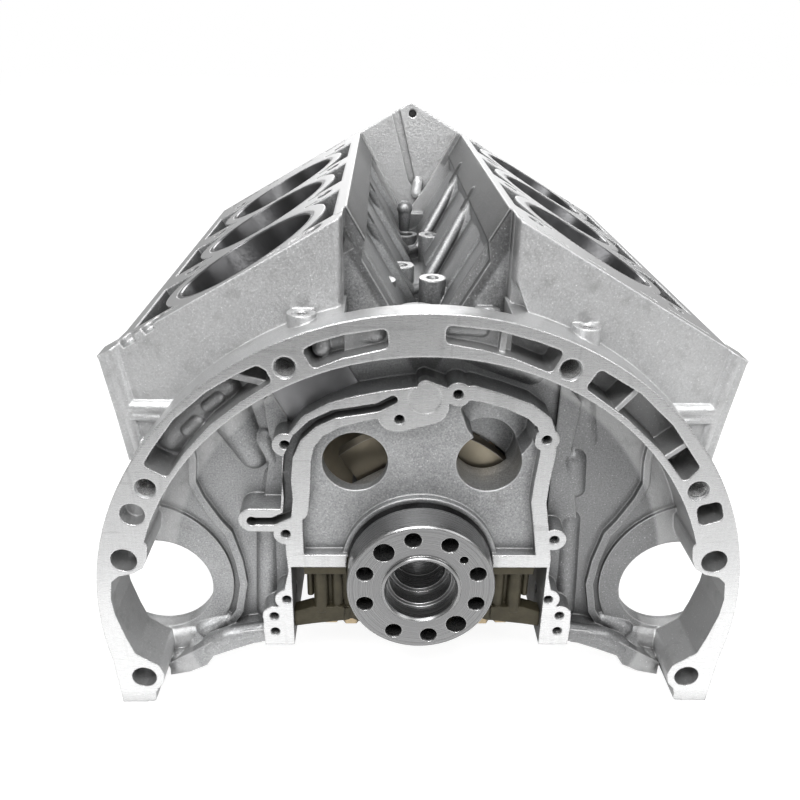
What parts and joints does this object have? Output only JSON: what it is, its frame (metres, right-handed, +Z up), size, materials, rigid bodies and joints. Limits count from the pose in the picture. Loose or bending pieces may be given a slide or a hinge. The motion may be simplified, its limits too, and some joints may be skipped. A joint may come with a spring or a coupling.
{
  "type": "engine block",
  "caption": "Short block of a sixty degree V engine: cast block with bell end, liners, crankshaft turning in main bearings under bolted caps.",
  "frame": {"origin": "on the crank axis, in the plane of the bell face", "axes": "+X towards the right bank seen from the bell end, +Y along the crank axis from the bell end to the front, +Z up"},
  "size_m": [0.4096, 0.443, 0.3527],
  "materials": {
    "block_cast": "fine grained casting with milled faces",
    "crank_steel": "turned and ground",
    "liner_iron": "honed",
    "cap_iron": "oily casting",
    "bolt_steel": "tinted by oil",
    "shell_metal": "smooth bearing metal",
    "plug_steel": "pressed sheet"
  },
  "bodies": {
    "block": {"cylinder_block": "block_cast", "liner_left_1": "liner_iron", "liner_left_2": "liner_iron", "liner_left_3": "liner_iron", "liner_right_1": "liner_iron", "liner_right_2": "liner_iron", "liner_right_3": "liner_iron", "main_cap_1": "cap_iron", "main_cap_2": "cap_iron", "main_cap_3": "cap_iron", "main_cap_4": "cap_iron", "cap_bolts_1": "bolt_steel", "cap_bolts_2": "bolt_steel", "cap_bolts_3": "bolt_steel", "cap_bolts_4": "bolt_steel", "side_bolts_1": "bolt_steel", "side_bolts_2": "bolt_steel", "side_bolts_3": "bolt_steel", "shell_upper_1": "shell_metal", "shell_upper_2": "shell_metal", "shell_upper_3": "shell_metal", "shell_upper_4": "shell_metal", "shell_lower_1": "shell_metal", "shell_lower_2": "shell_metal", "shell_lower_3": "shell_metal", "shell_lower_4": "shell_metal", "core_plug_left_1": "plug_steel", "core_plug_left_2": "plug_steel", "core_plug_right_1": "plug_steel", "core_plug_right_2": "plug_steel"},
    "crankshaft": {"crankshaft": "crank_steel"}
  },
  "joints": [
    {"name": "crank_spin", "type": "hinge", "parent": "block", "child": "crankshaft", "pos_m": [0, 0, 0], "axis": [0, 1, 0], "continuous": true}
  ]
}
